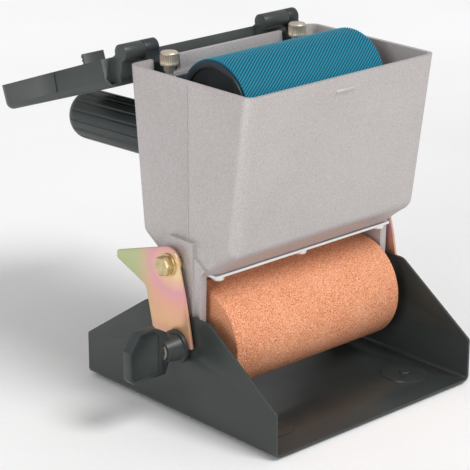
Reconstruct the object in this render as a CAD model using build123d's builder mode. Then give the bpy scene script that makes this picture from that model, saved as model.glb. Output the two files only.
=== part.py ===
"""Hand glue applicator parked in its drip tray.

A cast aluminium hopper stands on two legs over a foam glue roller. The roller turns on a steel
axle whose ends stick out through slots in the tray walls: a wing knob on the left, a head on the
right. Two plated arms on the legs catch the axle ends. A lid hinged at the rear is folded right back over
the handle. A spare ribbed rubber roller lies in the hopper.

Millimetres, +Z up. X runs along the roller, the open front of the tray faces -Y, the handle is
at +Y. The origin is on the ground under the middle of the tray.
"""

from build123d import *
from math import atan2, cos, hypot, radians, sin, sqrt, tan
import os

# ---- driving dimensions ----
tray_depth = 197.0
tray_sheet = 2.0
tray_ground = 2.0
tray_end_height = 32.0
tray_top_length = 64.0
tray_bend = 2.5
tray_clear = 1.3
slot_height = 23.0

axle_y = -5.0
axle_r = 5.0
thread_r = 4.0
roller_r = 38.4
roller_length = 160.0
roller_lift = 13.6
roller_end_gap = 5.4
foam_wall = 21.0
tube_wall = 2.5

hopper_depth = 122.3
hopper_height = 131.8
hopper_front_y = -64.3
hopper_wall = 3.2
floor_gap = 14.1
shoulder_height = 18.0
draft_front = 8.0
draft_rear = 5.6
corner_r = 8.0
shoulder_front_r = 10.0
shoulder_rear_r = 4.0

leg_inset = 3.4
leg_web = 5.9
leg_pad = 1.9
rib_front = -17.5
pad_front = -12.6
pad_rear = 12.0
pad_rise = 4.0
pivot_y = 3.5
pivot_height = 57.0
bolt_r = 4.0

arm_sheet = 2.0
arm_gap = 1.8

hinge_r = 6.0
hinge_pin_r = 2.5
hinge_behind = 9.0
hinge_above = 5.7
lid_open_below = 19.7
lid_length = 145.5
lid_wall = 2.4
lid_side_gap = 2.8
lid_rim_w = -1.2
lid_top_hinge = 21.8
lid_top_free = 19.9
lid_corner_r = 12.0
neck_length = 14.0

grip_r = 19.5
grip_length = 126.0
grip_drop = 2.0
stem_r = 11.0
stem_length = 46.0
stem_below_rim = 79.3

spare_r = 33.8
spare_length = 130.0
spare_wall = 3.2
spare_y = -4.5
spare_below_rim = 22.7
spindle_r = 5.0
rest_half = 9.5
rest_drop = 12.0
rest_reach = 11.0

screw_in_from_end = 27.8
screw_r = 3.0
running = 0.08
clear = 0.3

# ---- places worked out from them ----
tray_floor_z = tray_ground + tray_sheet
axle_z = tray_floor_z + roller_lift + roller_r
tray_top_height = axle_z + slot_height - tray_ground
hopper_floor_z = axle_z + roller_r + floor_gap
hopper_shoulder_z = hopper_floor_z + shoulder_height
hopper_rim_z = hopper_floor_z + hopper_height
hopper_rear_y = hopper_front_y + hopper_depth
leg_inner_x = roller_length / 2 + roller_end_gap
leg_web_x = leg_inner_x + leg_web
leg_outer_x = leg_web_x + leg_pad
half_width = leg_inner_x + leg_inset
hopper_width = 2 * half_width
tray_wall_x = leg_outer_x + tray_clear + tray_sheet
tray_width = 2 * tray_wall_x
pivot_z = axle_z + pivot_height
arm_x = tray_wall_x + arm_gap
arm_outer_x = arm_x + arm_sheet
knob_x = arm_outer_x + clear
screw_x = half_width - screw_in_from_end
hinge_y = hopper_rear_y + hinge_behind
hinge_z = hopper_rim_z + hinge_above
lid_width = hopper_width + 2 * (lid_side_gap + lid_wall)
neck_half = half_width - 1.8
stem_root_z = hopper_rim_z - stem_below_rim
spare_z = hopper_rim_z - spare_below_rim


def front_y(z):
    """Outer face of the leaning front wall at height z."""
    return hopper_front_y + (hopper_rim_z - z) * tan(radians(draft_front))


def rear_y(z):
    """Outer face of the leaning rear wall at height z."""
    return hopper_rear_y - (hopper_rim_z - z) * tan(radians(draft_rear))


def yz(x):
    """Plane square to X at x: its own axes are Y and Z."""
    return Plane.YZ.offset(x)


def along_x(x0, y, z, direction=1):
    """Plane at (x0, y, z) that looks along +X or -X."""
    return Plane(origin=(x0, y, z), x_dir=(0, 1, 0), z_dir=(direction, 0, 0))


os.makedirs("parts", exist_ok=True)


def save(piece, label):
    piece.part.label = label
    export_step(piece.part, f"parts/{label}.step")


# ---- drip tray: one folded sheet, four round embossings for the feet ----
foot_in_from_side = 28.5
foot_in_from_end = 36.5
foot_x = tray_wall_x - foot_in_from_side
foot_y = tray_depth / 2 - foot_in_from_end
emboss_r = 17.0
emboss_rise = 1.2
foot_r = 11.0
rivet_r = 2.5
slot_clear = 0.6
foot_spots = [(sx * foot_x, sy * foot_y) for sx in (-1, 1) for sy in (-1, 1)]

with BuildPart() as tray:
    with BuildSketch(Plane.XZ.offset(-tray_depth / 2)):
        with Locations((0, tray_ground + tray_top_height / 2)):
            Rectangle(tray_width, tray_top_height)
    extrude(amount=tray_depth)
    fillet(tray.edges().filter_by(Axis.Y).group_by(Axis.Z)[0], tray_bend + tray_sheet)
    with BuildSketch(Plane.XZ.offset(-tray_depth / 2)) as channel:
        with Locations((0, tray_floor_z + tray_top_height / 2)):
            Rectangle(tray_width - 2 * tray_sheet, tray_top_height)
        fillet(channel.vertices().group_by(Axis.Y)[0], tray_bend)
    extrude(amount=tray_depth, mode=Mode.SUBTRACT)
    # the ends slope down from the middle of each wall to its short front and rear edges
    with BuildSketch(yz(-tray_width)) as ends:
        with BuildLine():
            Polyline(
                (-tray_depth / 2 - 1, tray_ground - 1),
                (-tray_depth / 2 - 1, tray_ground + tray_top_height + 1),
                (tray_depth / 2 + 1, tray_ground + tray_top_height + 1),
                (tray_depth / 2 + 1, tray_ground - 1),
                close=True,
            )
        make_face()
        with BuildLine():
            Polyline(
                (-tray_depth / 2, tray_ground - 2),
                (-tray_depth / 2, tray_ground + tray_end_height),
                (-tray_top_length / 2, tray_ground + tray_top_height),
                (tray_top_length / 2, tray_ground + tray_top_height),
                (tray_depth / 2, tray_ground + tray_end_height),
                (tray_depth / 2, tray_ground - 2),
                close=True,
            )
        make_face(mode=Mode.SUBTRACT)
    extrude(amount=2 * tray_width, mode=Mode.SUBTRACT)
    upper = tray.edges().filter_by(Axis.X).group_by(Axis.Z)
    fillet(upper[-1], 9.0)
    fillet(tray.edges().filter_by(Axis.X).filter_by_position(
        Axis.Z, tray_ground + tray_end_height - 0.5, tray_ground + tray_end_height + 0.5), 3.0)
    # slots open at the top take the threaded axle ends
    with BuildSketch(yz(-tray_width)):
        slot_half = thread_r + slot_clear
        with Locations((axle_y, axle_z)):
            Circle(slot_half)
        with Locations((axle_y, axle_z + tray_top_height / 2)):
            Rectangle(2 * slot_half, tray_top_height)
    extrude(amount=2 * tray_width, mode=Mode.SUBTRACT)
    # raised round embossings, hollow below
    with Locations(*[(x, y, tray_floor_z) for x, y in foot_spots]):
        Cylinder(emboss_r, emboss_rise, align=(Align.CENTER, Align.CENTER, Align.MIN))
    with Locations(*[(x, y, tray_ground) for x, y in foot_spots]):
        Cylinder(emboss_r - tray_sheet, emboss_rise, mode=Mode.SUBTRACT,
                 align=(Align.CENTER, Align.CENTER, Align.MIN))
        Cylinder(rivet_r, 2 * tray_floor_z, mode=Mode.SUBTRACT)
save(tray, "tray")

emboss_under = tray_ground + emboss_rise
emboss_over = emboss_under + tray_sheet
with BuildPart() as feet:
    with BuildSketch(Plane.XY):
        with Locations(*foot_spots):
            Circle(foot_r)
    extrude(amount=emboss_under)
    chamfer(feet.edges().group_by(Axis.Z)[0], 0.8)
    with Locations(*[(x, y, 0) for x, y in foot_spots]):
        Cylinder(rivet_r + 1.6, 1.4, mode=Mode.SUBTRACT,
                 align=(Align.CENTER, Align.CENTER, Align.MIN))
        Cylinder(rivet_r, 3 * emboss_under, mode=Mode.SUBTRACT)
save(feet, "tray_feet")

with BuildPart() as rivets:
    with Locations(*[(x, y, 0.5) for x, y in foot_spots]):
        Cylinder(rivet_r, emboss_over - 0.5, align=(Align.CENTER, Align.CENTER, Align.MIN))
        Cylinder(rivet_r + 1.5, 0.9, align=(Align.CENTER, Align.CENTER, Align.MIN))
    with Locations(*[(x, y, emboss_over) for x, y in foot_spots]):
        Cylinder(rivet_r + 1.7, 1.3, align=(Align.CENTER, Align.CENTER, Align.MIN))
    fillet(rivets.edges().group_by(Axis.Z)[-1], 0.9)
save(rivets, "foot_rivets")

# ---- hopper casting: funnel, two legs, screw lugs, hinge notches ----
floor_front = -25.5
floor_rear = 20.0
outlet_y = (4.5, 12.5)
blade_screw_y = floor_front + 3.6
blade_screw_x = (7.4 - leg_inner_x, 0, leg_inner_x - 7.4)
outlet_half = leg_inner_x - 9.4
notch_depth = 12.0
notches = ((-screw_x - 7, -screw_x + 17), (screw_x - 7, screw_x + 17))
lug_r = 5.2
lug_top = hopper_rim_z - notch_depth - 0.4
lug_thick = 3.4
screw_y = hopper_rear_y - 11.7


shoulder_share = 0.75


def funnel_outline(inset, top, floor):
    """Section of the funnel square to X, each wall moved in by inset."""
    lean_f = inset / cos(radians(draft_front))
    lean_r = inset / cos(radians(draft_rear))
    slope_f = atan2(hopper_shoulder_z - hopper_floor_z, floor_front - front_y(hopper_shoulder_z))
    slope_r = atan2(hopper_shoulder_z - hopper_floor_z, rear_y(hopper_shoulder_z) - floor_rear)
    shoulder = hopper_shoulder_z + inset * shoulder_share
    return (
        (front_y(top) + lean_f, top),
        (front_y(shoulder) + lean_f, shoulder),
        (floor_front + inset * tan(slope_f / 2), floor),
        (floor_rear - inset * tan(slope_r / 2), floor),
        (rear_y(shoulder) - lean_r, shoulder),
        (rear_y(top) - lean_r, top),
    )


with BuildPart() as funnel_core:
    core_half = half_width - hopper_wall
    with BuildSketch(yz(-core_half)):
        with BuildLine():
            Polyline(*funnel_outline(hopper_wall, hopper_rim_z + 5, hopper_floor_z + 3.5), close=True)
        make_face()
    extrude(amount=2 * core_half)
    fillet(funnel_core.edges().filter_by(Axis.X, reverse=True).filter_by_position(
        Axis.Z, hopper_shoulder_z + 10, hopper_rim_z + 4), corner_r - hopper_wall)

with BuildPart() as hopper:
    with BuildSketch(yz(-half_width)):
        with BuildLine():
            Polyline(*funnel_outline(0, hopper_rim_z, hopper_floor_z), close=True)
        make_face()
    extrude(amount=hopper_width)
    fillet(hopper.edges().filter_by(Axis.X, reverse=True).filter_by_position(
        Axis.Z, hopper_shoulder_z + 10, hopper_rim_z - 1), corner_r)
    for end, radius in ((0, shoulder_front_r), (-1, shoulder_rear_r)):
        shoulders = hopper.edges().filter_by(Axis.X).filter_by_position(
            Axis.Z, hopper_shoulder_z - 1, hopper_shoulder_z + 1)
        fillet(shoulders.sort_by(Axis.Y)[end], radius)
    add(funnel_core.part, mode=Mode.SUBTRACT)
    # glue outlet in the floor
    with BuildSketch(Plane.XY.offset(hopper_floor_z - 1)):
        with Locations((0, (outlet_y[0] + outlet_y[1]) / 2)):
            RectangleRounded(2 * outlet_half, outlet_y[1] - outlet_y[0], 3)
    extrude(amount=8, mode=Mode.SUBTRACT)
    # notches in the rear rim for the two hinges
    for x0, x1 in notches:
        with BuildSketch(Plane.XZ.offset(-hopper_rear_y - 5)) as notch:
            with Locations(((x0 + x1) / 2, hopper_rim_z)):
                Rectangle(x1 - x0, 2 * notch_depth)
            fillet(notch.vertices(), 3.0)
        extrude(amount=20, mode=Mode.SUBTRACT)
    # lugs that carry the metering screws
    for side in (-1, 1):
        with BuildSketch(Plane.XY.offset(lug_top - lug_thick)):
            with Locations((side * screw_x, screw_y)):
                Circle(lug_r)
            with Locations((side * screw_x, (screw_y + rear_y(lug_top) - 1.5) / 2)):
                Rectangle(2 * lug_r, rear_y(lug_top) - 1.5 - screw_y)
        extrude(amount=lug_thick)
        with BuildSketch(Plane.XY.offset(lug_top - 2 * lug_thick)):
            with Locations((side * screw_x, screw_y)):
                Circle(screw_r + running)
        extrude(amount=3 * lug_thick, mode=Mode.SUBTRACT)
    # rests inside the end walls for the spindle of the spare roller
    for side in (-1, 1):
        rest_x = half_width - 1.0
        with BuildSketch(along_x(side * rest_x, spare_y, spare_z, -side)):
            with BuildLine():
                Polyline(
                    (-rest_half, 0),
                    (-rest_half, side * rest_drop),
                    (0, side * (rest_drop + rest_half)),
                    (rest_half, side * rest_drop),
                    (rest_half, 0),
                    close=True,
                )
            make_face()
        extrude(amount=rest_reach)
        with BuildSketch(along_x(side * (half_width - hopper_wall), spare_y, spare_z, -side)):
            Circle(spindle_r + clear)
            with Locations((0, -side * 10)):
                Rectangle(2 * (spindle_r + clear), 20)
        extrude(amount=rest_reach, mode=Mode.SUBTRACT)
    # legs: a web with a raised outer pad, open at the front for the axle
    for side in (-1, 1):
        web_start = leg_inner_x if side > 0 else -leg_web_x
        pad_start = leg_web_x - 1 if side > 0 else -leg_outer_x
        with BuildSketch(yz(web_start)):
            with BuildLine():
                Polyline(
                    (rib_front - 5, hopper_floor_z + 4),
                    (rib_front - 1, hopper_floor_z - 1),
                    (rib_front, axle_z + 14),
                    (rib_front, axle_z - 8),
                    (axle_y - 5, axle_z - 14),
                    (axle_y + 8, axle_z - 14),
                    (axle_y + 15, axle_z - 7),
                    (pivot_y + 17, pivot_z - 16),
                    (pad_rear + 9, hopper_shoulder_z - 7),
                    (pad_rear, hopper_shoulder_z + pad_rise),
                    (pad_front, hopper_shoulder_z + pad_rise),
                    (pad_front, hopper_floor_z + 11),
                    close=True,
                )
            make_face()
        extrude(amount=leg_web)
        with BuildSketch(yz(pad_start)) as pad:
            with BuildLine():
                Polyline(
                    (pad_front, hopper_shoulder_z + pad_rise),
                    (pad_front, axle_z - 6),
                    (axle_y - 5, axle_z - 11),
                    (axle_y + 6, axle_z - 11),
                    (axle_y + 11, axle_z - 4),
                    (pivot_y + 14, pivot_z - 14),
                    (pad_rear + 9, hopper_shoulder_z - 7),
                    (pad_rear, hopper_shoulder_z + pad_rise),
                    close=True,
                )
            make_face()
            fillet(pad.vertices(), 1.6)
        extrude(amount=leg_pad + 1)
        with BuildSketch(yz(side * leg_web_x - 6)):
            with Locations((axle_y, axle_z)):
                Circle(axle_r + running)
            with Locations((axle_y - 15, axle_z)):
                Rectangle(30, 2 * (axle_r + running))
            with Locations((pivot_y, pivot_z)):
                Circle(bolt_r)
        extrude(amount=12, mode=Mode.SUBTRACT)
        # parting ridge of the die on the end wall
        with BuildSketch(Plane.XY.offset(hopper_shoulder_z + 3.5)):
            with Locations((side * half_width, -3.6)):
                Rectangle(1.4, 1.5)
        extrude(amount=hopper_rim_z - hopper_shoulder_z - 6)
    # catch for the lid's tab on the front wall
    catch_z = hopper_rim_z - 10
    catch_y = front_y(catch_z)
    with BuildSketch(yz(-9.0)):
        with BuildLine():
            Polyline(
                (catch_y + 2, catch_z + 1.9),
                (catch_y + 0.2, catch_z + 1.6),
                (catch_y - 1.2, catch_z + 0.4),
                (catch_y - 1.2, catch_z - 0.4),
                (catch_y + 2, catch_z - 1.4),
                close=True,
            )
        make_face()
    extrude(amount=18)
    # tapped holes for the three blade screws
    with Locations(*[(x, blade_screw_y, hopper_floor_z) for x in blade_screw_x]):
        Cylinder(1.6, 5.0, mode=Mode.SUBTRACT)
save(hopper, "hopper")

# ---- doctor blade under the floor, folded down to just clear the roller ----
blade_sheet = 2.0
blade_gap = 0.5
blade_half = leg_inner_x - 0.4
blade_fold_y = 3.0
tip_drop = sqrt(roller_r**2 - (blade_fold_y - axle_y) ** 2)
blade_tip_z = axle_z + tip_drop + blade_gap + 0.6

with BuildPart() as blade:
    with BuildSketch(yz(-blade_half)) as blade_section:
        with BuildLine():
            Polyline(
                (floor_front - 1.6, hopper_floor_z),
                (blade_fold_y, hopper_floor_z),
                (blade_fold_y, blade_tip_z),
                (blade_fold_y - blade_sheet + 0.8, blade_tip_z),
                (blade_fold_y - blade_sheet, blade_tip_z + 1.5),
                (blade_fold_y - blade_sheet, hopper_floor_z - blade_sheet),
                (floor_front - 1.6, hopper_floor_z - blade_sheet),
                close=True,
            )
        make_face()
    extrude(amount=2 * blade_half)
    fillet(blade.edges().filter_by(Axis.X).sort_by_distance(
        (0, blade_fold_y, hopper_floor_z))[0:1], 2.4)
    with Locations(*[(x, blade_screw_y, hopper_floor_z) for x in blade_screw_x]):
        Cylinder(1.8, 12.0, mode=Mode.SUBTRACT)
save(blade, "doctor_blade")

with BuildPart() as blade_screws:
    blade_under = hopper_floor_z - blade_sheet
    with Locations(*[(x, blade_screw_y, blade_under) for x in blade_screw_x]):
        Cylinder(1.6, blade_sheet + 2.4, align=(Align.CENTER, Align.CENTER, Align.MIN))
        Cylinder(4.4, 3.2, align=(Align.CENTER, Align.CENTER, Align.MAX))
    fillet(blade_screws.edges().group_by(Axis.Z)[0], 1.5)
save(blade_screws, "blade_screws")

# rubber seal strip behind the outlet, pressed on the floor
seal_y = (14.0, 18.5)
seal_drop = sqrt(roller_r**2 - (seal_y[1] - axle_y) ** 2)
with BuildPart() as rear_seal:
    with BuildSketch(yz(-outlet_half - 3)) as seal_section:
        with BuildLine():
            Polyline(
                (seal_y[0], hopper_floor_z),
                (seal_y[1], hopper_floor_z),
                (seal_y[1], axle_z + seal_drop + 5.5),
                (seal_y[0] + 1.5, axle_z + seal_drop + 3.2),
                (seal_y[0], axle_z + seal_drop + 6.0),
                close=True,
            )
        make_face()
    extrude(amount=2 * (outlet_half + 3))
save(rear_seal, "rear_seal")

# ---- axle and glue roller ----
axle_end_x = knob_x + 14.0
axle_head_r = 9.0
axle_head_thick = 6.0
with BuildPart() as axle:
    with BuildSketch(yz(-leg_outer_x)):
        with Locations((axle_y, axle_z)):
            Circle(axle_r)
    extrude(amount=2 * leg_outer_x)
    with BuildSketch(yz(-axle_end_x)):
        with Locations((axle_y, axle_z)):
            Circle(thread_r)
    extrude(amount=axle_end_x + knob_x)
    with BuildSketch(yz(knob_x)):
        with Locations((axle_y, axle_z)):
            Circle(axle_head_r)
    extrude(amount=axle_head_thick)
    with BuildSketch(yz(knob_x + axle_head_thick)):
        with Locations((axle_y, axle_z)):
            RegularPolygon(3.0, 6, major_radius=False)
    extrude(amount=-3.5, mode=Mode.SUBTRACT)
    chamfer(axle.edges().group_by(Axis.X)[0], 0.8)
    chamfer(axle.edges().group_by(Axis.X)[-1], 0.8)
save(axle, "axle")

tube_r = roller_r - foam_wall
half_roller = roller_length / 2
with BuildPart() as foam:
    with BuildSketch(yz(-half_roller)):
        with Locations((axle_y, axle_z)):
            Circle(roller_r)
            Circle(tube_r, mode=Mode.SUBTRACT)
    extrude(amount=roller_length)
    outer_rims = foam.edges().filter_by(GeomType.CIRCLE).filter_by(lambda e: e.radius > tube_r + 1)
    fillet(outer_rims, 1.5)
save(foam, "foam_sleeve")

with BuildPart() as roller_tube:
    with BuildSketch(yz(-half_roller)):
        with Locations((axle_y, axle_z)):
            Circle(tube_r)
            Circle(tube_r - tube_wall, mode=Mode.SUBTRACT)
    extrude(amount=roller_length)
save(roller_tube, "roller_tube")

bush_depth = 18.0
bush_boss_x = leg_inner_x - 0.4
for side, name in ((-1, "left"), (1, "right")):
    with BuildPart() as bush:
        with BuildSketch(along_x(side * half_roller, axle_y, axle_z, -side)):
            Circle(tube_r - tube_wall)
        extrude(amount=bush_depth)
        with BuildSketch(along_x(side * half_roller, axle_y, axle_z, side)):
            Circle(tube_r - tube_wall + 1.6)
        extrude(amount=2.0)
        with BuildSketch(along_x(side * half_roller, axle_y, axle_z, side)):
            Circle(axle_r + 3.5)
        extrude(amount=bush_boss_x - half_roller)
        # recess round the hub
        with BuildSketch(along_x(side * (half_roller + 2), axle_y, axle_z, -side)):
            Circle(tube_r - tube_wall - 2)
            Circle(axle_r + 4.5, mode=Mode.SUBTRACT)
        extrude(amount=8, mode=Mode.SUBTRACT)
        with BuildSketch(along_x(side * (half_roller - bush_depth - 1), axle_y, axle_z, side)):
            Circle(axle_r + running)
        extrude(amount=bush_depth + 20, mode=Mode.SUBTRACT)
    save(bush, f"roller_bush_{name}")

# ---- wing knob on the threaded left end of the axle ----
flange_r = 12.0
flange_thick = 2.6
hub_length = 12.0
wing_start = 10.0
wing_length = 45.0
wing_thick = 7.0
wing_up = 20.0
wing_down = 15.5
insert_r = 6.0

side = -1
with BuildPart() as knob:
    with BuildSketch(along_x(side * knob_x, axle_y, axle_z, side)):
        Circle(flange_r)
    extrude(amount=flange_thick)
    with BuildSketch(along_x(side * (knob_x + flange_thick), axle_y, axle_z, side)):
        Circle(10.0)
    extrude(amount=hub_length, taper=9)
    with BuildSketch(Plane.XZ.offset(-axle_y - wing_thick / 2)) as wing:
        with BuildLine():
            Polyline(
                (side * (knob_x + wing_start), axle_z - 6),
                (side * (knob_x + wing_start + 4), axle_z - wing_down),
                (side * (knob_x + wing_length - 3), axle_z - wing_down),
                (side * (knob_x + wing_length), axle_z - wing_down + 3),
                (side * (knob_x + wing_length), axle_z + wing_up - 12),
                (side * (knob_x + wing_length - 9), axle_z + wing_up),
                (side * (knob_x + wing_length - 22), axle_z + wing_up),
                (side * (knob_x + wing_start + 3), axle_z + wing_up - 5),
                (side * (knob_x + wing_start), axle_z + 7),
                close=True,
            )
        make_face()
    extrude(amount=wing_thick)
    # finger hollows in both faces of the wing
    for face_y, turn in ((axle_y - wing_thick / 2, 1), (axle_y + wing_thick / 2, -1)):
        with BuildSketch(Plane.XZ.offset(-face_y)):
            with BuildLine():
                Polyline(
                    (side * (knob_x + wing_start + 9), axle_z - wing_down + 2.4),
                    (side * (knob_x + wing_length - 4), axle_z - wing_down + 2.4),
                    (side * (knob_x + wing_length - 2.4), axle_z - wing_down + 4),
                    (side * (knob_x + wing_length - 2.4), axle_z + wing_up - 13),
                    (side * (knob_x + wing_length - 10), axle_z + wing_up - 2.4),
                    (side * (knob_x + wing_length - 21.5), axle_z + wing_up - 2.4),
                    (side * (knob_x + wing_start + 9), axle_z + wing_up - 6),
                    close=True,
                )
            make_face()
        extrude(amount=-turn * 1.6, mode=Mode.SUBTRACT)
    with BuildSketch(along_x(side * knob_x, axle_y, axle_z, side)):
        Circle(insert_r)
    extrude(amount=axle_end_x - knob_x + 1.5, mode=Mode.SUBTRACT)
save(knob, "wing_knob")

with BuildPart() as insert:
    with BuildSketch(along_x(side * knob_x, axle_y, axle_z, side)):
        Circle(insert_r)
        Circle(thread_r + running, mode=Mode.SUBTRACT)
    extrude(amount=axle_end_x - knob_x + 1.0)
save(insert, "knob_insert")

# ---- plated catch arms outside the tray walls, with their pivots ----
catch_r = hypot(axle_y - pivot_y, axle_z - pivot_z) - thread_r - 0.5
tab_y = pivot_y + 55.2
tab_z = (pivot_z - 9.6, pivot_z - 4.0)
heel = (pivot_y + 24.4, pivot_z - 21.8)
right_lead = 6.0
spacer_r = 7.0
washer_r = 8.0
washer_thick = 1.6
head_across_flats = 13.0
head_thick = 5.5


def on_catch(angle):
    """Point on the arc round the pivot that passes just above the axle end."""
    a = radians(angle)
    return (pivot_y + catch_r * sin(a), pivot_z - catch_r * cos(a))


for side, name in ((-1, "left"), (1, "right")):
    plate_start = arm_x if side > 0 else -arm_outer_x
    lead = right_lead if side > 0 else 0
    with BuildPart() as arm:
        with BuildSketch(yz(plate_start)) as arm_face:
            with BuildLine():
                top = (pivot_y + 3.0, pivot_z + 12.2)
                Polyline((tab_y, tab_z[1]), (pivot_y + 20.5, pivot_z + 6.6), top)
                brow = (pivot_y - 7.0, pivot_z + 9.3)
                ThreePointArc(top, brow, (pivot_y - 10.2 - lead, pivot_z + 0.4))
                Polyline(
                    (pivot_y - 10.2 - lead, pivot_z + 0.4),
                    (axle_y - 7.6 - lead, axle_z + 36),
                    (axle_y - 14.8 - lead, axle_z + 1.2),
                    (axle_y - 12.6, axle_z + 1.0),
                    on_catch(-13.6),
                )
                ThreePointArc(on_catch(-13.6), on_catch(2), on_catch(19.5))
                Polyline(
                    on_catch(19.5),
                    heel,
                    (tab_y, tab_z[0]),
                    (tab_y, tab_z[1]),
                )
            make_face()
            fillet(arm_face.vertices().sort_by_distance((tab_y, tab_z[0]))[0:2], 1.8)
            fillet(arm_face.vertices().sort_by_distance((axle_y - 14 - lead, axle_z + 1))[0:1], 1.1)
            fillet(arm_face.vertices().sort_by_distance(heel)[0:1], 6.0)
            with Locations((pivot_y, pivot_z)):
                Circle(bolt_r + running, mode=Mode.SUBTRACT)
        extrude(amount=arm_sheet)
    save(arm, f"arm_{name}")

with BuildPart() as spacers:
    for side in (-1, 1):
        with BuildSketch(along_x(side * leg_outer_x, pivot_y, pivot_z, side)):
            Circle(spacer_r)
            Circle(bolt_r + running, mode=Mode.SUBTRACT)
        extrude(amount=arm_x - leg_outer_x - 0.1)
save(spacers, "pivot_spacers")

with BuildPart() as washers:
    for side in (-1, 1):
        with BuildSketch(along_x(side * (arm_outer_x + 0.1), pivot_y, pivot_z, side)):
            Circle(washer_r)
            Circle(bolt_r + running, mode=Mode.SUBTRACT)
        extrude(amount=washer_thick)
save(washers, "pivot_washers")

with BuildPart() as pivot_bolts:
    for side in (-1, 1):
        head_x = arm_outer_x + 0.1 + washer_thick
        with BuildSketch(along_x(side * (leg_inner_x + 0.5), pivot_y, pivot_z, side)):
            Circle(bolt_r)
        extrude(amount=head_x - leg_inner_x)
        with BuildSketch(along_x(side * head_x, pivot_y, pivot_z, side)):
            RegularPolygon(head_across_flats / 2, 6, major_radius=False, rotation=12)
        extrude(amount=head_thick)
    chamfer(pivot_bolts.edges().group_by(Axis.X)[0], 0.7)
    chamfer(pivot_bolts.edges().group_by(Axis.X)[-1], 0.7)
save(pivot_bolts, "pivot_bolts")

# ---- lid, folded back: its own plane has Y from the hinge to the free edge, Z into the lid ----
tilt = radians(lid_open_below)
lid_into = (0, sin(tilt), cos(tilt))
skirt_start = hinge_r + 0.5
band = (lid_length / 2 - 2.7, lid_length / 2 + 19.3)
tab_width = 20.0
tab_reach = 10.0
drums = ((-neck_half, -screw_x - 8.3), (screw_x - 17, screw_x + 6.7))
knuckles = ((-screw_x - 8, -screw_x + 4), (screw_x + 7, screw_x + 16))
drum_bore = 15.0


def lid_side(x):
    """Plane square to X in the lid's frame: its own axes run along the lid and into it."""
    return Plane(origin=(x, hinge_y, hinge_z), x_dir=(0, cos(tilt), -sin(tilt)), z_dir=(1, 0, 0))


with BuildPart() as lid_core:
    core_width = lid_width - 2 * lid_wall
    with BuildSketch(lid_side(-core_width / 2)):
        with BuildLine():
            Polyline(
                (skirt_start + lid_wall, lid_rim_w + 5),
                (lid_length - lid_wall, lid_rim_w + 5),
                (lid_length - lid_wall, lid_wall - lid_top_free),
                (skirt_start + lid_wall, lid_wall - lid_top_hinge),
                close=True,
            )
        make_face()
    extrude(amount=core_width)
    upright = lid_core.edges().filter_by(
        lambda e: abs(e.tangent_at(0.5).dot(Vector(*lid_into))) > 0.99)
    fillet(upright.sort_by(Axis.Y)[-2:], lid_corner_r - lid_wall)

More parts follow.
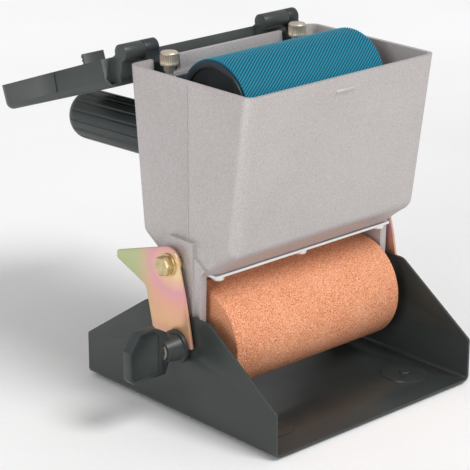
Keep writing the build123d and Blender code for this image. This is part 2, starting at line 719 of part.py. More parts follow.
with BuildPart() as lid:
    with BuildSketch(lid_side(-lid_width / 2)):
        with BuildLine():
            Polyline(
                (skirt_start, lid_rim_w),
                (lid_length, lid_rim_w),
                (lid_length, -lid_top_free),
                (skirt_start, -lid_top_hinge),
                close=True,
            )
        make_face()
    extrude(amount=lid_width)
    upright = lid.edges().filter_by(
        lambda e: abs(e.tangent_at(0.5).dot(Vector(*lid_into))) > 0.99)
    fillet(upright.sort_by(Axis.Y)[-2:], lid_corner_r)
    top_face = lid.faces().sort_by(Axis((0, hinge_y, hinge_z), lid_into))[0]
    fillet(top_face.edges(), 5.5)
    # raised band across the side skirts
    with BuildSketch(lid_side(-lid_width / 2 - 1.0)):
        with BuildLine():
            Polyline(
                (band[0], lid_rim_w),
                (band[1], lid_rim_w),
                (band[1] - 1.5, -lid_top_free + 4),
                (band[0] + 1.5, -lid_top_free + 4),
                close=True,
            )
        make_face()
    extrude(amount=lid_width + 2.0)
    add(lid_core.part, mode=Mode.SUBTRACT)
    # the sides step in next to the hopper's rear wall
    for side in (-1, 1):
        with BuildSketch(lid_side(side * neck_half if side > 0 else -neck_half - 12)):
            with BuildLine():
                Polyline(
                    (-2, lid_rim_w + 8),
                    (neck_length, lid_rim_w + 8),
                    (neck_length, lid_rim_w - 14),
                    (neck_length - 6, -lid_top_hinge - 4),
                    (-2, -lid_top_hinge - 4),
                    close=True,
                )
            make_face()
        extrude(amount=12, mode=Mode.SUBTRACT)
        with BuildSketch(lid_side(side * neck_half - (lid_wall if side > 0 else 0))):
            with BuildLine():
                Polyline(
                    (skirt_start, lid_rim_w),
                    (neck_length + lid_wall, lid_rim_w),
                    (neck_length + lid_wall, -lid_top_hinge + lid_wall),
                    (skirt_start, -lid_top_hinge + lid_wall),
                    close=True,
                )
            make_face()
        extrude(amount=lid_wall)
        step_start = neck_half - lid_wall if side > 0 else 1.6 - lid_width / 2
        with BuildSketch(lid_side(step_start)):
            with BuildLine():
                Polyline(
                    (neck_length, lid_rim_w),
                    (neck_length + lid_wall, lid_rim_w),
                    (neck_length + lid_wall, -lid_top_hinge + lid_wall),
                    (neck_length, -lid_top_hinge + lid_wall + 5),
                    close=True,
                )
            make_face()
        extrude(amount=lid_width / 2 - 1.6 - neck_half + lid_wall)
    # hinge drums on short arms
    for x0, x1 in drums:
        with BuildSketch(lid_side(x0)):
            Circle(hinge_r)
            with BuildLine():
                Polyline(
                    (0, -hinge_r),
                    (skirt_start + lid_wall, -lid_top_hinge + 2),
                    (skirt_start + lid_wall, lid_rim_w),
                    (hinge_r, 0),
                    (0, 0),
                    close=True,
                )
            make_face()
        extrude(amount=x1 - x0)
    for x0, x1 in drums:
        with BuildSketch(lid_side(x1 - drum_bore)):
            Circle(hinge_pin_r + running)
        extrude(amount=drum_bore + 4, mode=Mode.SUBTRACT)
    # ribbed tab on the middle of the free edge
    with BuildSketch(lid_side(-tab_width / 2)):
        with BuildLine():
            Polyline(
                (lid_length - 1.0, lid_rim_w - 10),
                (lid_length + 1.6, lid_rim_w - 10),
                (lid_length + 1.6, lid_rim_w + tab_reach),
                (lid_length - 0.8, lid_rim_w + tab_reach),
                (lid_length - 0.8, lid_rim_w - 1),
                close=True,
            )
        make_face()
    extrude(amount=tab_width)
    for rib in range(4):
        with BuildSketch(lid_side(-tab_width / 2)):
            with Locations((lid_length + 1.8, lid_rim_w - 1.0 + rib * 3.0)):
                Rectangle(1.4, 1.2)
        extrude(amount=tab_width)
save(lid, "lid")

with BuildPart() as hinge_pins:
    for (d0, d1), (k0, k1) in zip(drums, knuckles):
        with BuildSketch(yz(d1 - drum_bore + 1)):
            with Locations((hinge_y, hinge_z)):
                Circle(hinge_pin_r)
        extrude(amount=k1 - d1 + drum_bore - 1)
save(hinge_pins, "hinge_pins")

bracket_low = hopper_rim_z - 26.3
bracket_back = hinge_y - 5.5
bracket_screw_z = hopper_rim_z - 19.3
with BuildPart() as brackets:
    for (k0, k1), (n0, n1) in zip(knuckles, notches):
        foot_x0 = min(k0, n0) + 1
        foot_x1 = max(k1, n1) - 1
        with BuildSketch(yz(foot_x0)):
            with BuildLine():
                Polyline(
                    (rear_y(bracket_low), bracket_low),
                    (bracket_back - 1, bracket_low),
                    (bracket_back, bracket_low + 2),
                    (bracket_back, hopper_rim_z - 3),
                    (rear_y(hopper_rim_z - 3), hopper_rim_z - 3),
                    close=True,
                )
            make_face()
        extrude(amount=foot_x1 - foot_x0)
        with BuildSketch(yz(k0)):
            with Locations((hinge_y, hinge_z)):
                Circle(hinge_r)
            with BuildLine():
                Polyline(
                    (bracket_back - 3, hopper_rim_z - 12),
                    (bracket_back, hopper_rim_z - 12),
                    (hinge_y - 1, hinge_z - 5.5),
                    (hinge_y - 4.5, hinge_z + 2),
                    (bracket_back - 3, hopper_rim_z - 4),
                    close=True,
                )
            make_face()
        extrude(amount=k1 - k0)
        with BuildSketch(yz(k0 - 1)):
            with Locations((hinge_y, hinge_z)):
                Circle(hinge_pin_r)
        extrude(amount=k1 - k0 + 2, mode=Mode.SUBTRACT)
    for n0, n1 in notches:
        with Locations(*[Location((x, bracket_back, bracket_screw_z), (90, 0, 0)) for x in (n0 + 6, n1 - 6)]):
            Cylinder(1.6, 20, mode=Mode.SUBTRACT)
save(brackets, "hinge_brackets")

with BuildPart() as hinge_screws:
    for n0, n1 in notches:
        for x in (n0 + 6, n1 - 6):
            with BuildSketch(Plane(origin=(x, bracket_back, bracket_screw_z), x_dir=(1, 0, 0), z_dir=(0, 1, 0))):
                Circle(3.0)
            extrude(amount=1.8)
            with BuildSketch(Plane(origin=(x, bracket_back, bracket_screw_z), x_dir=(1, 0, 0), z_dir=(0, -1, 0))):
                Circle(1.6)
            extrude(amount=bracket_back - rear_y(bracket_screw_z) - 0.3)
save(hinge_screws, "hinge_screws")

# ---- handle: cast stem bolted to the rear wall, fluted grip over it ----
drop = radians(grip_drop)
stem_root_y = rear_y(stem_root_z)
handle_dir = (0, cos(drop), -sin(drop))


def across_handle(s):
    """Plane square to the handle, s from the rear wall."""
    return Plane(
        origin=(0, stem_root_y + s * cos(drop), stem_root_z - s * sin(drop)),
        x_dir=(1, 0, 0),
        z_dir=handle_dir,
    )


wall_normal = (0, cos(radians(draft_rear)), -sin(radians(draft_rear)))
wall_plane = Plane(origin=(0, stem_root_y, stem_root_z), x_dir=(1, 0, 0), z_dir=wall_normal)
plate_size = (62.0, 40.0)
plate_thick = 6.0
bolt_spots = [(-23.0, 0), (23.0, 0)]
grip_start = stem_length
with BuildPart() as stem:
    with BuildSketch(wall_plane):
        RectangleRounded(*plate_size, 10)
    extrude(amount=plate_thick)
    with BuildSketch(across_handle(plate_thick - 2)):
        Circle(stem_r + 4)
    extrude(amount=stem_length - plate_thick + 2, taper=3)
    with BuildSketch(across_handle(stem_length - 1)):
        Circle(stem_r - 2)
    extrude(amount=grip_length - 20)
    with BuildSketch(wall_plane):
        with Locations(*bolt_spots):
            Circle(3.1)
    extrude(amount=plate_thick, mode=Mode.SUBTRACT)
save(stem, "handle_stem")

with BuildPart() as handle_bolts:
    with BuildSketch(wall_plane.offset(0.2)):
        with Locations(*bolt_spots):
            Circle(3.0)
    extrude(amount=plate_thick - 0.2)
    with BuildSketch(wall_plane.offset(plate_thick)):
        with Locations(*bolt_spots):
            Circle(5.0)
    extrude(amount=5.0)
    with BuildSketch(wall_plane.offset(plate_thick + 5.0)):
        with Locations(*bolt_spots):
            RegularPolygon(2.5, 6, major_radius=False)
    extrude(amount=-2.8, mode=Mode.SUBTRACT)
save(handle_bolts, "handle_bolts")

flutes = 16
flute_r = 1.3
with BuildPart() as grip:
    with BuildSketch(across_handle(grip_start)):
        Circle(grip_r)
    extrude(amount=grip_length)
    fillet(grip.edges().sort_by(Axis.Y)[-1:], 14.0)
    chamfer(grip.edges().sort_by(Axis.Y)[:1], 1.5)
    with BuildSketch(across_handle(grip_start + 4)):
        with PolarLocations(grip_r + 0.5, flutes):
            Circle(flute_r)
    extrude(amount=grip_length, mode=Mode.SUBTRACT)
    with BuildSketch(across_handle(grip_start - 1)):
        Circle(stem_r - 2 + 0.05)
    extrude(amount=grip_length - 20 + 1, mode=Mode.SUBTRACT)
save(grip, "grip")

# ---- metering shutter on the rear wall, raised by two captive thumb screws ----
shutter_sheet = 2.5
shutter_top = hopper_rim_z - 14.3
shutter_half = half_width - hopper_wall - 5.4
shutter_travel = 10.0
boss_r = 6.0
boss_height = 14.0
boss_top = lug_top - lug_thick - shutter_travel - 1.6
lean = radians(draft_rear)


def inner_rear(z, off=0.0):
    """Point on the rear wall's inner face at height z, moved off it by off."""
    return rear_y(z) - hopper_wall / cos(lean) - off


foot_low = hopper_floor_z + 3.5 + 0.4
rear_run = rear_y(hopper_shoulder_z) - floor_rear
with BuildPart() as shutter:
    with BuildSketch(yz(-shutter_half)):
        bend_z = hopper_shoulder_z + 4.5
        foot_y = floor_rear - 3.0
        with BuildLine():
            Polyline(
                (inner_rear(shutter_top, 0.5), shutter_top),
                (inner_rear(bend_z, 0.5), bend_z),
                (foot_y, foot_low),
                (outlet_y[0] - 2, foot_low),
                (outlet_y[0] - 2, foot_low + shutter_sheet),
                (foot_y - 1, foot_low + shutter_sheet),
                (inner_rear(bend_z + 2, 0.5 + shutter_sheet), bend_z + 2),
                (inner_rear(shutter_top, 0.5 + shutter_sheet), shutter_top),
                close=True,
            )
        make_face()
    extrude(amount=2 * shutter_half)
    for side in (-1, 1):
        # slot that lets the plate rise past the lug
        with BuildSketch(Plane.XY.offset(boss_top)):
            with Locations((side * screw_x, screw_y)):
                Rectangle(2 * (lug_r + 0.6), 30)
        extrude(amount=30, mode=Mode.SUBTRACT)
        with BuildSketch(Plane.XY.offset(boss_top - boss_height)):
            with Locations((side * screw_x, screw_y)):
                Circle(boss_r)
            boss_back = inner_rear(boss_top - boss_height, 1.5)
            with Locations((side * screw_x, (screw_y + boss_back) / 2)):
                Rectangle(2 * boss_r, boss_back - screw_y)
        extrude(amount=boss_height)
        with BuildSketch(Plane.XY.offset(boss_top - boss_height - 20)):
            with Locations((side * screw_x, screw_y)):
                Circle(screw_r + running)
        extrude(amount=boss_height + 30, mode=Mode.SUBTRACT)
    # the bosses are faced off flush with the back of the plate
    with BuildSketch(yz(-shutter_half)):
        with BuildLine():
            Polyline(
                (inner_rear(shutter_top, 0.5), shutter_top),
                (inner_rear(bend_z, 0.5), bend_z),
                (inner_rear(bend_z, 0.5) + 20, bend_z),
                (inner_rear(shutter_top, 0.5) + 20, shutter_top),
                close=True,
            )
        make_face()
    extrude(amount=2 * shutter_half, mode=Mode.SUBTRACT)
save(shutter, "shutter")

head_r = 6.4
head_low = hopper_rim_z - 2.7
head_height = 9.0
neck_r = 4.0
neck_low = hopper_rim_z - 6.9
screw_end = boss_top - boss_height - 2.0
clip_top = lug_top - lug_thick - 0.15
clip_thick = 1.0
for side, name in ((-1, "left"), (1, "right")):
    with BuildPart() as thumb_screw:
        with BuildSketch(Plane.XY.offset(screw_end)):
            with Locations((side * screw_x, screw_y)):
                Circle(screw_r)
        extrude(amount=head_low - screw_end + 1)
        with BuildSketch(Plane.XY.offset(neck_low)):
            with Locations((side * screw_x, screw_y)):
                Circle(neck_r)
        extrude(amount=head_low - neck_low + 1)
        # collar that bears on the lug
        with BuildSketch(Plane.XY.offset(lug_top + 0.1)):
            with Locations((side * screw_x, screw_y)):
                Circle(screw_r + 1.6)
        extrude(amount=1.2)
        with BuildSketch(Plane.XY.offset(head_low)):
            with Locations((side * screw_x, screw_y)):
                Circle(head_r)
        extrude(amount=head_height)
        chamfer(thumb_screw.edges().group_by(Axis.Z)[-1], 0.8)
        chamfer(thumb_screw.edges().group_by(Axis.Z)[0], 0.6)
        with BuildSketch(Plane.XY.offset(head_low + 1.4)):
            with Locations((side * screw_x, screw_y)):
                with PolarLocations(head_r + 0.35, 30):
                    Circle(0.6)
        extrude(amount=head_height - 3.0, mode=Mode.SUBTRACT)
    save(thumb_screw, f"thumb_screw_{name}")

    with BuildPart() as clip:
        with BuildSketch(Plane.XY.offset(clip_top - clip_thick)):
            with Locations((side * screw_x, screw_y)):
                Circle(screw_r + 1.8)
                Circle(screw_r, mode=Mode.SUBTRACT)
        extrude(amount=clip_thick)
    save(clip, f"screw_clip_{name}")

# ---- spare ribbed roller, parked in the hopper with its spindle laid in the two rests ----
half_spare = spare_length / 2
spare_tube_r = spare_r - spare_wall
cap_plate = 1.6
spindle_half = half_width - hopper_wall - 1.0

with BuildPart() as spare_sleeve:
    with BuildSketch(along_x(-half_spare, spare_y, spare_z)):
        Circle(spare_r)
        Circle(spare_tube_r, mode=Mode.SUBTRACT)
    extrude(amount=spare_length)
    spare_rims = spare_sleeve.edges().filter_by(GeomType.CIRCLE).filter_by(
        lambda e: e.radius > spare_tube_r + 1)
    fillet(spare_rims, 0.8)
save(spare_sleeve, "spare_sleeve")

with BuildPart() as spare_tube:
    with BuildSketch(along_x(-half_spare, spare_y, spare_z)):
        Circle(spare_tube_r)
        Circle(spare_tube_r - tube_wall, mode=Mode.SUBTRACT)
    extrude(amount=spare_length)
save(spare_tube, "spare_tube")

with BuildPart() as spindle:
    with BuildSketch(along_x(-spindle_half, spare_y, spare_z)):
        Circle(spindle_r)
    extrude(amount=2 * spindle_half)
    chamfer(spindle.edges().group_by(Axis.X)[0], 0.8)
    chamfer(spindle.edges().group_by(Axis.X)[-1], 0.8)
save(spindle, "spare_spindle")

for side, name in ((-1, "left"), (1, "right")):
    with BuildPart() as cap:
        with BuildSketch(along_x(side * half_spare, spare_y, spare_z, -side)):
            Circle(spare_tube_r - tube_wall)
        extrude(amount=bush_depth)
        with BuildSketch(along_x(side * half_spare, spare_y, spare_z, side)):
            Circle(spare_tube_r + 1.5)
        extrude(amount=cap_plate)
        with BuildSketch(along_x(side * (half_spare + cap_plate), spare_y, spare_z, -side)):
            Circle(spare_tube_r - 3.0)
            Circle(spindle_r + 6.5, mode=Mode.SUBTRACT)
        extrude(amount=2.4, mode=Mode.SUBTRACT)
        with BuildSketch(along_x(side * (half_spare - bush_depth), spare_y, spare_z, side)):
            Circle(spindle_r + running)
        extrude(amount=bush_depth + cap_plate, mode=Mode.SUBTRACT)
    save(cap, f"spare_cap_{name}")
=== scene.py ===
import math

import bpy
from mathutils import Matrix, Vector


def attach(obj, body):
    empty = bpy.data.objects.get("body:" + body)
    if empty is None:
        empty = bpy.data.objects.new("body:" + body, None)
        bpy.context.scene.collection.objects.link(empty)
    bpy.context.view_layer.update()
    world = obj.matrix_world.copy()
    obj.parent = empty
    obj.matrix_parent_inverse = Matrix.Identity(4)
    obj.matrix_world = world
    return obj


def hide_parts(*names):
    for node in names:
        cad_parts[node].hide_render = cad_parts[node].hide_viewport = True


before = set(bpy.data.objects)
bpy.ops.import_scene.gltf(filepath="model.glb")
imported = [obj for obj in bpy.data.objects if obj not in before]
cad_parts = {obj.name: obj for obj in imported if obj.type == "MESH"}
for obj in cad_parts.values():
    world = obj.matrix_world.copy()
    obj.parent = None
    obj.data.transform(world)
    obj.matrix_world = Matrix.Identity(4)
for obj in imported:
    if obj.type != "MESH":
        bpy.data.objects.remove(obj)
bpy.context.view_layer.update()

# ---- studio ----
# The applicator stands on matt white paper under an even white sky, with one broad soft sun in
# front of it and a lower one at its left. The camera looks down on it a little from the left.


def linear(code):
    """Scene linear colour with alpha for a screen colour written as #RRGGBB."""
    shades = []
    for start in (1, 3, 5):
        v = int(code[start:start + 2], 16) / 255
        shades.append(v / 12.92 if v <= 0.04045 else ((v + 0.055) / 1.055) ** 2.4)
    return (*shades, 1.0)


def add(tree, kind, values=None, links=None, stops=(), into=None):
    """New shader node with its settings, its colour stops, what feeds it and what it feeds."""
    node = tree.nodes.new("ShaderNode" + kind)
    for key, value in (values or {}).items():
        if isinstance(key, int) or key in node.inputs:
            node.inputs[key].default_value = value
        else:
            setattr(node, key, value)
    for key, socket in (links or {}).items():
        tree.links.new(socket, node.inputs[key])
    for index, (position, colour) in enumerate(stops):
        if index == len(node.color_ramp.elements):
            node.color_ramp.elements.new(position)
        node.color_ramp.elements[index].position = position
        node.color_ramp.elements[index].color = linear(colour)
    if into is not None:
        tree.links.new(node.outputs[0], into)
    return node


def blank(name, metallic, roughness):
    """Empty material: its tree, its shader and the place on the piece, in metres."""
    material = bpy.data.materials.new(name)
    material.use_nodes = True
    tree = material.node_tree
    shader = tree.nodes["Principled BSDF"]
    shader.inputs["Metallic"].default_value = metallic
    shader.inputs["Roughness"].default_value = roughness
    return material, tree, shader, add(tree, "TexCoord").outputs["Object"]


def grained(name, dark, light, patch_mm, grain_mm, depth_mm, roughness, metallic=0.0):
    """Material in two close shades that drift in patches, under a fine grain of that depth."""
    grain_share, polish_spread = 0.35, 0.08
    darkest, lightest = 0.42, 0.95
    material, tree, shader, place = blank(name, metallic, roughness)
    patches = add(tree, "TexNoise", {"Scale": 1000 / patch_mm, "Detail": 3.0}, {"Vector": place})
    fine = add(tree, "TexNoise", {"Scale": 1000 / grain_mm, "Detail": 3.0}, {"Vector": place})
    shade = add(tree, "Math", {"operation": "MULTIPLY_ADD", 1: grain_share}, {
        0: fine.outputs["Fac"], 2: patches.outputs["Fac"]})
    add(tree, "ValToRGB", links={"Fac": shade.outputs[0]},
        stops=((darkest, dark), (lightest, light)), into=shader.inputs["Base Color"])
    add(tree, "MapRange", {3: roughness - polish_spread, 4: roughness + polish_spread},
        {0: patches.outputs["Fac"]}, into=shader.inputs["Roughness"])
    add(tree, "Bump", {"Distance": depth_mm / 1000}, {"Height": fine.outputs["Fac"]},
        into=shader.inputs["Normal"])
    return material


def deselect():
    """Leaves nothing selected, so that the next piece is worked on alone."""
    if bpy.context.object and bpy.context.object.mode == "EDIT":
        bpy.ops.object.mode_set(mode="OBJECT")
    bpy.ops.object.select_all(action="DESELECT")


floor_width = 9.0
deselect()
bpy.ops.mesh.primitive_plane_add(size=floor_width, location=(0, 0, 0))
floor = bpy.context.object
floor.name = "floor"
# matt paper: all but white, with hardly any shine
paper = grained("studio_paper", "#F6F6F6", "#FFFFFF",
                patch_mm=400, grain_mm=4, depth_mm=0.02, roughness=0.9)
floor.data.materials.append(paper)


def towards(around, up):
    """Direction out from the applicator: degrees right of its front, then above the floor."""
    a, b = math.radians(around), math.radians(up)
    return Vector((math.sin(a) * math.cos(b), -math.cos(a) * math.cos(b), math.sin(b)))


aim = Vector((-0.0047, 0.041, 0.1014))
camera_side, camera_distance = towards(-42.6, 19.6), 1.458
lens = bpy.data.cameras.new("camera")
lens.lens = 154.5
lens.sensor_width = 36
camera = bpy.data.objects.new("camera", lens)
camera.location = aim + camera_side * camera_distance
camera.rotation_euler = (-camera_side).to_track_quat("-Z", "Y").to_euler()
bpy.context.scene.collection.objects.link(camera)
bpy.context.scene.camera = camera

world = bpy.data.worlds.new("studio")
world.use_nodes = True
sky = world.node_tree.nodes["Background"]
sky.inputs["Color"].default_value = (1.0, 1.0, 1.0, 1.0)
sky.inputs["Strength"].default_value = 0.5
bpy.context.scene.world = world
bpy.context.scene.view_settings.view_transform = "Standard"

sun_width = math.radians(24)
for name, around, up, power in (("key", 15.0, 52.0, 1.6), ("left_fill", -70.0, 16.0, 0.95)):
    lamp = bpy.data.lights.new(name, "SUN")
    lamp.energy = power
    lamp.angle = sun_width
    sun = bpy.data.objects.new(name, lamp)
    sun.rotation_euler = (-towards(around, up)).to_track_quat("-Z", "Y").to_euler()
    bpy.context.scene.collection.objects.link(sun)


# ---- drip tray ----
# One sheet of 2 mm steel, pressed and folded, and sprayed with black lacquer. Four rubber feet sit
# under round pressings in its floor, each held by a rivet.


def finish(piece, material, body, slot, *nodes, smooth=32.0):
    """Gives a piece its material, the body it rides on and the pieces it stands for."""
    deselect()
    bpy.context.view_layer.objects.active = piece
    piece.select_set(True)
    piece.data.materials.clear()
    piece.data.materials.append(material)
    bpy.ops.object.shade_smooth_by_angle(angle=math.radians(smooth))
    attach(piece, body)
    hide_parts(*nodes)


def refine(node, material, body, slot, edge_mm=0.0, smooth=32.0):
    """Finishes a copy of a piece, with clean faces and its sharp edges broken by that much."""
    same_place, same_plane, sharp = 0.000004, math.radians(1), math.radians(35)
    deselect()
    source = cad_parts[node]
    piece = bpy.data.objects.new(node + "_finished", source.data.copy())
    piece.data.transform(source.matrix_world)
    bpy.context.scene.collection.objects.link(piece)
    bpy.context.view_layer.objects.active = piece
    piece.select_set(True)
    bpy.ops.object.mode_set(mode="EDIT")
    bpy.ops.mesh.select_all(action="SELECT")
    bpy.ops.mesh.remove_doubles(threshold=same_place)
    bpy.ops.mesh.normals_make_consistent(inside=False)
    bpy.ops.mesh.dissolve_limited(angle_limit=same_plane)
    bpy.ops.object.mode_set(mode="OBJECT")
    if edge_mm:
        broken = piece.modifiers.new("edges", "BEVEL")
        broken.width = edge_mm / 1000
        broken.segments = 2
        broken.limit_method = "ANGLE"
        broken.angle_limit = sharp
        broken.use_clamp_overlap = True
        bpy.ops.object.modifier_apply(modifier="edges")
    finish(piece, material, body, slot, node, smooth=smooth)


# sprayed lacquer: near black, a soft sheen broken by a faint orange peel
lacquer = grained("black_lacquer_on_sheet", "#2B302F", "#353B39",
                  patch_mm=50, grain_mm=1.6, depth_mm=0.03, roughness=0.36)
refine("tray", lacquer, "tray_body", "tray_lacquer", edge_mm=0.35)
refine("foot_rivets", lacquer, "tray_body", "tray_lacquer")
# moulded rubber: dull and slightly mottled
foot_rubber = grained("moulded_foot_rubber", "#1B1B1C", "#2A2A2B",
                      patch_mm=10, grain_mm=0.5, depth_mm=0.04, roughness=0.85)
refine("tray_feet", foot_rubber, "tray_body", "foot_rubber")

# ---- hopper ----
# One die casting in aluminium, 3.2 mm thick, left as cast. The legs, the lugs for the metering
# screws and the spindle rests are cast on.

# as-cast skin: matt metal under a thin oxide, warm light grey in slow drifts of tone. Its fine
# pits are drawn near a millimetre apart, which is as coarse as they need to show
tone_mm, pit_mm, tone_share, pit_depth_mm = 33.33, 0.9091, 0.12, 0.07
casting, tree, shader, place = blank("as_cast_aluminium", metallic=0.35, roughness=0.55)
tone = add(tree, "TexNoise", {"Scale": 1000 / tone_mm, "Detail": 4.0}, {"Vector": place})
pits = add(tree, "TexNoise", {"Scale": 1000 / pit_mm, "Detail": 3.0, "Roughness": 0.75}, {
    "Vector": place})
cast_skin = add(tree, "Math", {"operation": "MULTIPLY_ADD", 1: tone_share}, {
    0: tone.outputs["Fac"], 2: pits.outputs["Fac"]})
add(tree, "ValToRGB", links={"Fac": cast_skin.outputs[0]}, stops=(
    (0.40, "#B1ABAA"), (0.55, "#C0BAB9"), (0.70, "#CBC5C4")), into=shader.inputs["Base Color"])
add(tree, "Bump", {"Distance": pit_depth_mm / 1000}, {"Height": pits.outputs["Fac"]},
    into=shader.inputs["Normal"])
refine("hopper", casting, "head", "cast_aluminium", edge_mm=0.5)

# ---- doctor blade, its screws and the rubber seal ----
# A strip of bright spring steel folded down in front of the outlet, held by three screws. A
# rubber strip closes the gap behind the outlet.

# rolled steel: bright, almost white where it faces the light
rolled_steel = grained("bright_rolled_steel", "#E2E2E1", "#F6F6F4",
                       patch_mm=30, grain_mm=0.4, depth_mm=0.01, roughness=0.3, metallic=0.8)
refine("doctor_blade", rolled_steel, "head", "bright_steel", edge_mm=0.25)
refine("blade_screws", rolled_steel, "head", "bright_steel")
# strip rubber: plain dull black
strip_rubber = grained("black_strip_rubber", "#202021", "#303031",
                       patch_mm=10, grain_mm=0.6, depth_mm=0.03, roughness=0.8)
refine("rear_seal", strip_rubber, "head", "seal_rubber", edge_mm=0.4)

# ---- axle and glue roller ----
# A turned steel axle, threaded at its left end and headed at its right. The roller is a sleeve of
# open sponge rubber on a steel tube with a plastic bush pressed into each end.

# turned steel: grey metal with a fine sheen
turned_steel = grained("turned_axle_steel", "#A9A9A8", "#CFCFCE",
                       patch_mm=20, grain_mm=0.5, depth_mm=0.01, roughness=0.3, metallic=1.0)
refine("axle", turned_steel, "head", "bright_steel")


def turned(name, centre, outline, sides):
    """Ring turned about a line along X, from (along, radius) points, all in millimetres."""
    deselect()
    x, y, z = centre
    along, radius = outline[0]
    bpy.ops.mesh.primitive_circle_add(
        vertices=sides, radius=radius / 1000, fill_type="NOTHING",
        location=((x + along) / 1000, y / 1000, z / 1000), rotation=(0, math.pi / 2, 0))
    piece = bpy.context.object
    piece.name = name
    bpy.ops.object.transform_apply(location=True, rotation=True, scale=True)
    bpy.ops.object.mode_set(mode="EDIT")
    bpy.ops.mesh.select_all(action="SELECT")
    for next_along, next_radius in outline[1:] + outline[:1]:
        bpy.ops.mesh.extrude_region_move(
            TRANSFORM_OT_translate={"value": ((next_along - along) / 1000, 0, 0)})
        grow = next_radius / radius
        bpy.ops.transform.resize(
            value=(1, grow, grow), center_override=((x + next_along) / 1000, y / 1000, z / 1000))
        along, radius = next_along, next_radius
    bpy.ops.mesh.select_all(action="SELECT")
    bpy.ops.mesh.remove_doubles(threshold=0.000002)
    bpy.ops.mesh.normals_make_consistent(inside=False)
    bpy.ops.object.mode_set(mode="OBJECT")
    return piece


# open sponge: a soft orange without shine, speckled by darker pores under a millimetre across
pore_mm, drift_mm, drift_share, pore_depth_mm = 0.7692, 25, 0.12, 0.8
sponge, tree, shader, place = blank("orange_sponge_rubber", metallic=0.0, roughness=0.8)
pores = add(tree, "TexNoise", {"Scale": 1000 / pore_mm, "Detail": 1.0, "Roughness": 0.5}, {
    "Vector": place})
drift = add(tree, "TexNoise", {"Scale": 1000 / drift_mm, "Detail": 2.0}, {"Vector": place})
sponge_skin = add(tree, "Math", {"operation": "MULTIPLY_ADD", 1: drift_share}, {
    0: drift.outputs["Fac"], 2: pores.outputs["Fac"]})
add(tree, "ValToRGB", links={"Fac": sponge_skin.outputs[0]}, stops=(
    (0.38, "#BF6C42"), (0.54, "#EE9C70"), (0.72, "#FCC09C")), into=shader.inputs["Base Color"])
add(tree, "Bump", {"Distance": pore_depth_mm / 1000}, {"Height": sponge_skin.outputs[0]},
    into=shader.inputs["Normal"])

axle_centre = (0.0, -5.0, 56.0)
roller_half, roller_r, foam_bore = 80.0, 38.4, 17.4
rim, corner = 1.5, 0.45
foam = turned("foam_sleeve_turned", axle_centre, [
    (-roller_half, foam_bore),
    (-roller_half, roller_r - rim),
    (-roller_half + corner, roller_r - corner),
    (-roller_half + rim, roller_r),
    (roller_half - rim, roller_r),
    (roller_half - corner, roller_r - corner),
    (roller_half, roller_r - rim),
    (roller_half, foam_bore),
], sides=128)
finish(foam, sponge, "glue_roller", "orange_foam", "foam_sleeve")
refine("roller_tube", rolled_steel, "glue_roller", "bright_steel")
# moulded plastic: blue-black with a low sheen
black_plastic = grained("moulded_black_plastic", "#22282B", "#2E3437",
                        patch_mm=20, grain_mm=0.8, depth_mm=0.02, roughness=0.42)
for side in ("left", "right"):
    refine(f"roller_bush_{side}", black_plastic, "glue_roller", "black_plastic", edge_mm=0.25)

# ---- wing knob ----
# Moulded in black plastic round a threaded brass insert; the wing has a raised rim round a
# shallow finger hollow, the hub is a short cone on a flange.

# satin plastic: black with a broad soft highlight
knob_plastic = grained("satin_black_plastic", "#2C3030", "#383D3C",
                       patch_mm=15, grain_mm=0.7, depth_mm=0.03, roughness=0.38)
refine("wing_knob", knob_plastic, "knob_body", "black_plastic", edge_mm=0.7, smooth=40)
# nickel plate over brass: pale, bright and a little warm
nickel = grained("nickel_plated_brass", "#CFC0AC", "#EFE3D0",
                 patch_mm=4, grain_mm=0.4, depth_mm=0.01, roughness=0.34, metallic=0.7)
refine("knob_insert", nickel, "knob_body", "nickel_brass")

# ---- catch arms and their pivots ----
# Pressed from 2 mm steel, zinc plated and passivated yellow. Each turns on a hexagon bolt with a
# washer and a spacer.

# passivated zinc: bands of cream, pink and orange that follow the thickness of the film out from
# a point above the pivot, and a green cast towards the rear end
film_centre, film_reach, film_stretch = (0.0, -0.002, 0.150), 0.085, 1.35
green_from, green_to = 0.020, 0.038
waver_mm, waver_width, waver_depth_mm = 16.67, 0.012, 0.03
passivated, tree, shader, place = blank("yellow_passivated_zinc", metallic=0.6, roughness=0.34)
plate = add(tree, "VectorMath", {"operation": "MULTIPLY", 1: (0.0, 1.0, film_stretch)}, {
    0: place})
outward = add(tree, "VectorMath", {"operation": "DISTANCE", 1: film_centre}, {
    0: plate.outputs[0]})
waver = add(tree, "TexNoise", {"Scale": 1000 / waver_mm, "Detail": 2.0}, {"Vector": place})
film = add(tree, "Math", {"operation": "MULTIPLY_ADD", 1: waver_width}, {
    0: waver.outputs["Fac"], 2: outward.outputs["Value"]})
share = add(tree, "MapRange", {1: 0.0, 2: film_reach}, {0: film.outputs[0]})
bands = add(tree, "ValToRGB", links={"Fac": share.outputs[0]}, stops=(
    (0.06, "#F2E0B4"), (0.2, "#EFC7A0"), (0.36, "#E3A6AE"),
    (0.52, "#EDB398"), (0.74, "#F2C093"), (0.95, "#E9A9A0")))
depth_wise = add(tree, "SeparateXYZ", links={0: place})
rearward = add(tree, "MapRange", {1: green_from, 2: green_to}, {0: depth_wise.outputs["Y"]})
add(tree, "MixRGB", {"Color2": linear("#BCC493")}, {
    "Fac": rearward.outputs[0], "Color1": bands.outputs["Color"]},
    into=shader.inputs["Base Color"])
add(tree, "Bump", {"Distance": waver_depth_mm / 1000}, {"Height": waver.outputs["Fac"]},
    into=shader.inputs["Normal"])
for side in ("left", "right"):
    refine(f"arm_{side}", passivated, f"arm_{side}_body", "yellow_zinc", edge_mm=0.3)
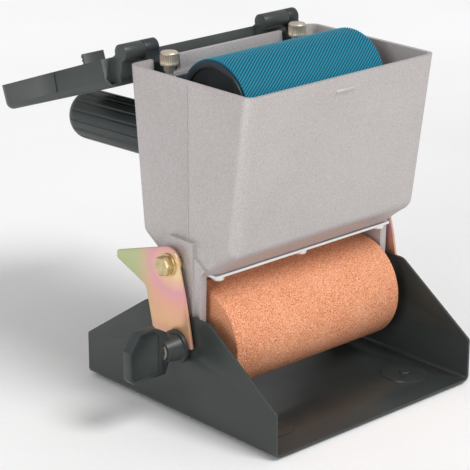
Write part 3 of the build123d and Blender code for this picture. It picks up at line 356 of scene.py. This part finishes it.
# zinc plate on fasteners: bright with a straw tint
zinc = grained("zinc_plated_bolts", "#B9A57C", "#E6D2A6",
               patch_mm=4, grain_mm=0.4, depth_mm=0.01, roughness=0.3, metallic=1.0)
for node in ("pivot_bolts", "pivot_washers", "pivot_spacers"):
    refine(node, zinc, "head", "zinc_steel", edge_mm=0.2)

# ---- lid and its hinges ----
# Injection moulded in black plastic: a shallow cap with a raised band on each side, a ribbed
# thumb tab and two hinge drums that turn on steel pins in screwed brackets.

# lid plastic: grey-black with a light sheen
lid_plastic = grained("lid_black_plastic", "#343A38", "#424845",
                      patch_mm=50, grain_mm=1.2, depth_mm=0.03, roughness=0.36)
refine("lid", lid_plastic, "lid_body", "black_plastic", edge_mm=0.45, smooth=40)
refine("hinge_brackets", black_plastic, "head", "black_plastic", edge_mm=0.4, smooth=40)
refine("hinge_pins", rolled_steel, "head", "bright_steel")
# black oxide on steel: dark, with a dull metal glint
oxide = grained("black_oxide_screws", "#232425", "#38393A",
                patch_mm=4, grain_mm=0.4, depth_mm=0.01, roughness=0.45, metallic=0.8)
refine("hinge_screws", oxide, "head", "black_steel")

# ---- handle ----
# A cast stem bolted to the rear wall with a fluted plastic grip pushed over its end; the grip is
# closed by a dome.

refine("handle_stem", casting, "head", "cast_aluminium", edge_mm=0.4)
refine("handle_bolts", oxide, "head", "black_steel", edge_mm=0.2)
# grip plastic: black with a slightly duller sheen than the lid
grip_plastic = grained("grip_black_plastic", "#2A3030", "#363C3C",
                       patch_mm=30, grain_mm=1.0, depth_mm=0.03, roughness=0.4)
refine("grip", grip_plastic, "head", "black_plastic", edge_mm=0.3, smooth=45)

# ---- metering shutter and its thumb screws ----
# A moulded plate that slides on the rear wall, raised by two screws with milled heads in nickel
# plated brass, each kept in its lug by a spring clip.

refine("shutter", black_plastic, "shutter_body", "black_plastic", edge_mm=0.3)
for side in ("left", "right"):
    refine(f"thumb_screw_{side}", nickel, f"screw_{side}_body", "nickel_brass", edge_mm=0.12)
    refine(f"screw_clip_{side}", rolled_steel, "head", "bright_steel")

# ---- spare roller ----
# A sleeve of teal rubber ground with fine diagonal ribs, on a steel tube with a black plastic cap
# pressed into each end and a loose steel spindle laid in the cast rests.

spare_y, spare_z = -4.5, 217.6
spare_half, spare_r, spare_bore = 65.0, 33.8, 30.6
rib_count, rib_depth, rib_turn, ring_count = 96, 0.6, math.radians(150), 48
ring_step = 2 * spare_half / ring_count


def on_spare_axis(along):
    """Point on the spare roller's axis, in metres, for millimetres right of its middle."""
    return (along / 1000, spare_y / 1000, spare_z / 1000)


left_end, right_end = on_spare_axis(-spare_half), on_spare_axis(spare_half)
deselect()
bpy.ops.mesh.primitive_circle_add(
    vertices=rib_count * 4, radius=spare_r / 1000, fill_type="NOTHING",
    location=left_end, rotation=(0, math.pi / 2, 0))
ribbed = bpy.context.object
ribbed.name = "spare_sleeve_ribbed"
bpy.ops.object.transform_apply(location=True, rotation=True, scale=True)
# two points in four are drawn in, and the other two are left as the crest of a rib
for index, vertex in enumerate(ribbed.data.vertices):
    vertex.select = index % 4 in (2, 3)
for edge in ribbed.data.edges:
    edge.select = False
bpy.ops.object.mode_set(mode="EDIT")
bpy.ops.mesh.select_mode(type="VERT")
groove = (spare_r - rib_depth) / spare_r
bpy.ops.transform.resize(value=(1, groove, groove), center_override=left_end)
bpy.ops.mesh.select_all(action="SELECT")
for ring in range(ring_count):
    bpy.ops.mesh.extrude_region_move(TRANSFORM_OT_translate={"value": (ring_step / 1000, 0, 0)})
    bpy.ops.transform.rotate(
        value=rib_turn / ring_count, orient_axis="X",
        center_override=on_spare_axis(-spare_half + (ring + 1) * ring_step))
# the right end turns in to the bore, back along it, and out to the left end
bore = spare_bore / spare_r
bpy.ops.mesh.extrude_region_move(TRANSFORM_OT_translate={"value": (0, 0, 0)})
bpy.ops.transform.resize(value=(1, bore, bore), center_override=right_end)
bpy.ops.mesh.extrude_region_move(
    TRANSFORM_OT_translate={"value": (-2 * spare_half / 1000, 0, 0)})
bpy.ops.transform.rotate(value=-rib_turn, orient_axis="X", center_override=left_end)
bpy.ops.mesh.extrude_region_move(TRANSFORM_OT_translate={"value": (0, 0, 0)})
bpy.ops.transform.resize(value=(1, 1 / bore, 1 / bore), center_override=left_end)
bpy.ops.mesh.select_all(action="SELECT")
bpy.ops.mesh.remove_doubles(threshold=0.00002)
bpy.ops.mesh.normals_make_consistent(inside=False)
bpy.ops.object.mode_set(mode="OBJECT")

# ground rubber: teal, with painted shade in the grooves between the ribs and the crests painted
# paler, broken up by random specks
speck_mm, speck_share, speck_depth_mm = 0.8333, 0.3, 0.04
teal, tree, shader, place = blank("teal_ribbed_rubber", metallic=0.0, roughness=0.55)
from_axis = add(tree, "VectorMath", {
    "operation": "MULTIPLY_ADD", 1: (0.0, 1.0, 1.0),
    2: (0.0, -spare_y / 1000, -spare_z / 1000)}, {0: place})
radius = add(tree, "VectorMath", {"operation": "LENGTH"}, {0: from_axis.outputs[0]})
# painted shade: the colour darkens with depth into a groove and is palest on the crests
up_rib = add(tree, "MapRange", {1: (spare_r - rib_depth) / 1000, 2: spare_r / 1000}, {
    0: radius.outputs["Value"]})
speck = add(tree, "TexNoise", {"Scale": 1000 / speck_mm, "Detail": 2.0}, {"Vector": place})
speck_jitter = add(tree, "Math", {
    "operation": "MULTIPLY_ADD", 1: speck_share, 2: -speck_share / 2}, {0: speck.outputs["Fac"]})
painted_groove_shade = add(tree, "Math", {"operation": "ADD"}, {0: up_rib.outputs[0], 1: speck_jitter.outputs[0]})
add(tree, "ValToRGB", links={"Fac": painted_groove_shade.outputs[0]}, stops=(
    (0.1, "#00506A"), (0.55, "#00809A"), (1.0, "#0C96B2")), into=shader.inputs["Base Color"])
add(tree, "Bump", {"Distance": speck_depth_mm / 1000}, {"Height": speck.outputs["Fac"]},
    into=shader.inputs["Normal"])
finish(ribbed, teal, "spare_roller", "teal_rubber", "spare_sleeve", smooth=25)
refine("spare_tube", rolled_steel, "spare_roller", "bright_steel")
refine("spare_spindle", turned_steel, "spare_roller", "bright_steel")
for side in ("left", "right"):
    refine(f"spare_cap_{side}", black_plastic, "spare_roller", "black_plastic", edge_mm=0.5)
